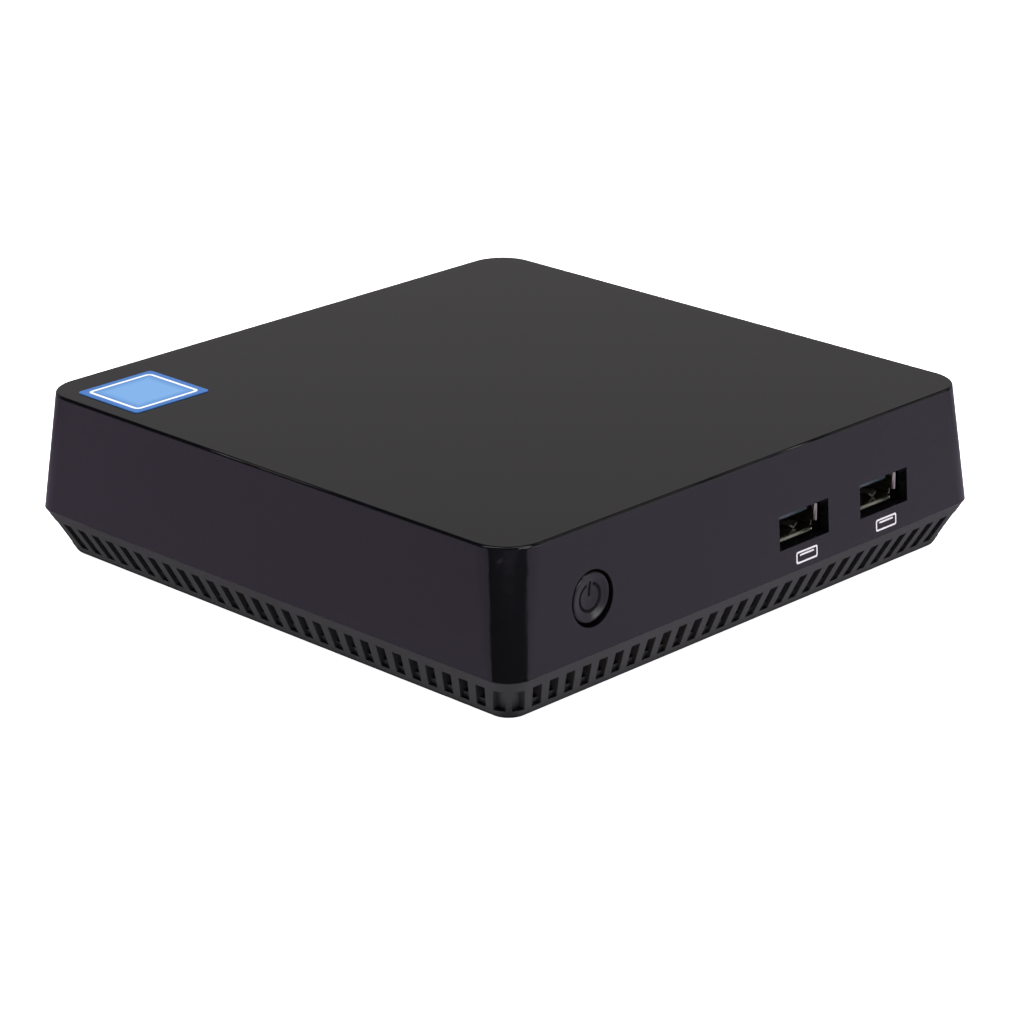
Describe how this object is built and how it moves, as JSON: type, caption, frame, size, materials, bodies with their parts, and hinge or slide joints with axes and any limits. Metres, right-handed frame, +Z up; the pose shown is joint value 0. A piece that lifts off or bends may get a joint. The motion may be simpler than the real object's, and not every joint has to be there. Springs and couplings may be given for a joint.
{
  "type": "mini pc",
  "caption": "Small square desktop computer with a vented base ring, round push button, front and rear sockets, and a mainboard with a blower cooler inside.",
  "frame": {"origin": "on the table, under the middle of the case, in the plane of the undersides of the feet", "axes": "+Z up; the face with the power button and front sockets looks towards -Y; +X is to the right of a person facing it"},
  "size_m": [0.126, 0.126, 0.0336],
  "materials": {
    "antenna_film": "laminate strip",
    "blower_plastic": "moulded",
    "board_laminate": "black solder mask",
    "button_plastic": "satin moulded",
    "capacitor_can": "drawn can",
    "cell_steel": "nickel plated",
    "choke_ferrite": "pressed ferrite",
    "coax_jacket": "extruded jacket",
    "contact_gold": "gold plated",
    "copper": "drawn copper",
    "fin_aluminium": "stamped",
    "foot_rubber": "matt moulded",
    "insert_brass": "knurled",
    "label_film": "blank film",
    "paste": "filled grease",
    "plunger_plastic": "moulded",
    "screw_steel": "zinc plated",
    "shell_plastic": "satin moulded",
    "silicon_package": "laminate with a silicon die",
    "socket_plastic": "moulded",
    "socket_steel": "nickel plated",
    "stator_iron": "lacquered laminations and windings",
    "sticker_film": "printed film",
    "switch_plastic": "moulded",
    "tray_plastic": "satin moulded"
  },
  "bodies": {
    "case": {"upper_shell": "shell_plastic", "base_tray": "tray_plastic", "foot_front_left": "foot_rubber", "foot_front_right": "foot_rubber", "foot_rear_left": "foot_rubber", "foot_rear_right": "foot_rubber", "case_screws": "screw_steel", "bracket_inserts": "insert_brass", "top_sticker": "sticker_film", "base_label": "label_film", "switch_body": "switch_plastic", "mainboard": "board_laminate", "board_screws": "screw_steel", "processor": "silicon_package", "thermal_paste": "paste", "heat_spreader": "copper", "spreader_screws": "screw_steel", "heat_pipe": "copper", "fin_stack": "fin_aluminium", "blower_housing": "blower_plastic", "blower_cover": "fin_aluminium", "blower_screws": "screw_steel", "motor_stator": "stator_iron", "fan_header": "plunger_plastic", "fan_lead": "coax_jacket", "front_usb_shell_1": "socket_steel", "front_usb_shell_2": "socket_steel", "front_usb_tongue_1": "socket_plastic", "front_usb_tongue_2": "socket_plastic", "rear_usb_shell": "socket_steel", "rear_usb_tongues": "socket_plastic", "usb_contacts": "contact_gold", "hdmi_shell": "socket_steel", "hdmi_tongue": "socket_plastic", "rj45_jack": "socket_plastic", "rj45_contacts": "contact_gold", "audio_jack": "socket_plastic", "dc_jack": "socket_plastic", "dc_pin": "socket_steel", "memory_socket": "socket_plastic", "memory_module": "board_laminate", "ssd_socket": "socket_plastic", "ssd_module": "board_laminate", "ssd_standoff": "insert_brass", "ssd_screw": "screw_steel", "wifi_socket": "socket_plastic", "wifi_module": "board_laminate", "antenna_left": "antenna_film", "antenna_right": "antenna_film", "antenna_lead_left": "coax_jacket", "antenna_lead_right": "coax_jacket", "coin_cell": "cell_steel", "battery_holder": "socket_plastic", "chokes": "choke_ferrite", "capacitors": "capacitor_can"},
    "power_button": {"power_button": "button_plastic", "switch_plunger": "plunger_plastic"},
    "impeller": {"blower_impeller": "blower_plastic", "impeller_shaft": "screw_steel"}
  },
  "joints": [
    {"name": "button_press", "type": "slide", "parent": "case", "child": "power_button", "axis": [0, 1, 0], "range_m": [0, 0.0005], "stiffness_N_per_m": 1500, "springref_m": -0.0002},
    {"name": "impeller_spin", "type": "hinge", "parent": "case", "child": "impeller", "pos_m": [-0.0255, 0.009, 0.0235], "axis": [0, 0, 1], "continuous": true}
  ]
}
